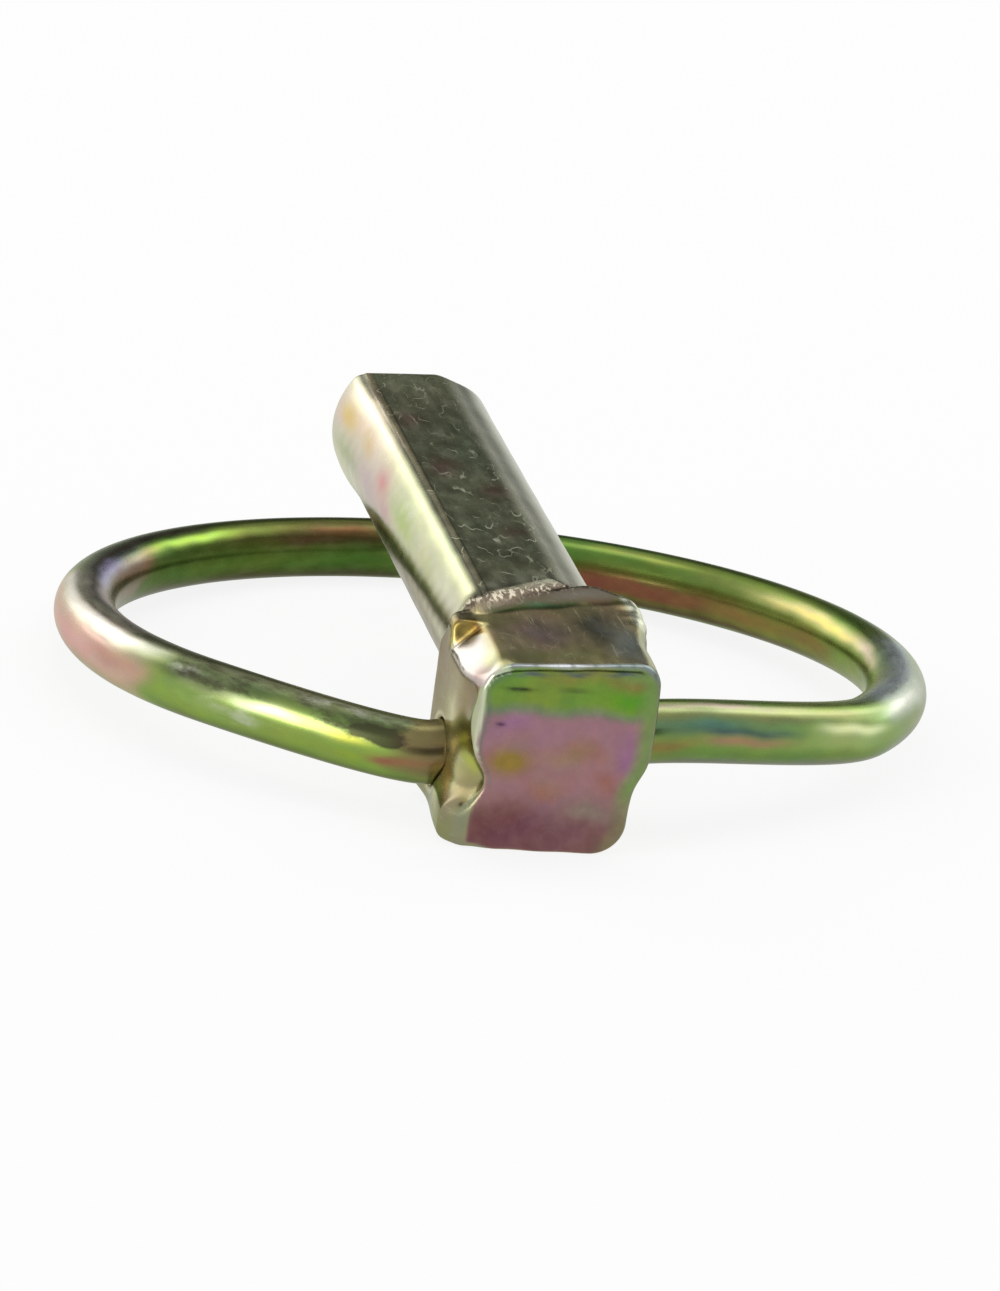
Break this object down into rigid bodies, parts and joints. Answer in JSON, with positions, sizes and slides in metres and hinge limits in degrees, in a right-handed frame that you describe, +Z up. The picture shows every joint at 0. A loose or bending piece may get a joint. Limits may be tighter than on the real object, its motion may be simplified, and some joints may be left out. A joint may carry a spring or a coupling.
{
  "type": "lynch pin",
  "caption": "Forged lynch pin with a flat along its round shank and a sprung wire ring hinged across its head.",
  "frame": {"origin": "on the surface that the pin lies on, under the middle of the whole object", "axes": "+Y from the head towards the shank's tip, +X to the right of the pin seen from its head, +Z up"},
  "size_m": [0.055, 0.0586, 0.0153],
  "materials": {
    "plated_forging": "yellow passivated zinc plate over a forging, satin with iridescent tints",
    "plated_wire": "yellow passivated zinc plate over drawn wire, bright with iridescent tints"
  },
  "bodies": {
    "pin": {"forged_pin": "plated_forging"},
    "ring": {"spring_ring": "plated_wire"}
  },
  "joints": [
    {"name": "ring_hinge", "type": "hinge", "parent": "pin", "child": "ring", "pos_m": [-0.0022, -0.02182, 0.00472], "axis": [0.9877, -0.0079, 0.1562], "continuous": true}
  ]
}
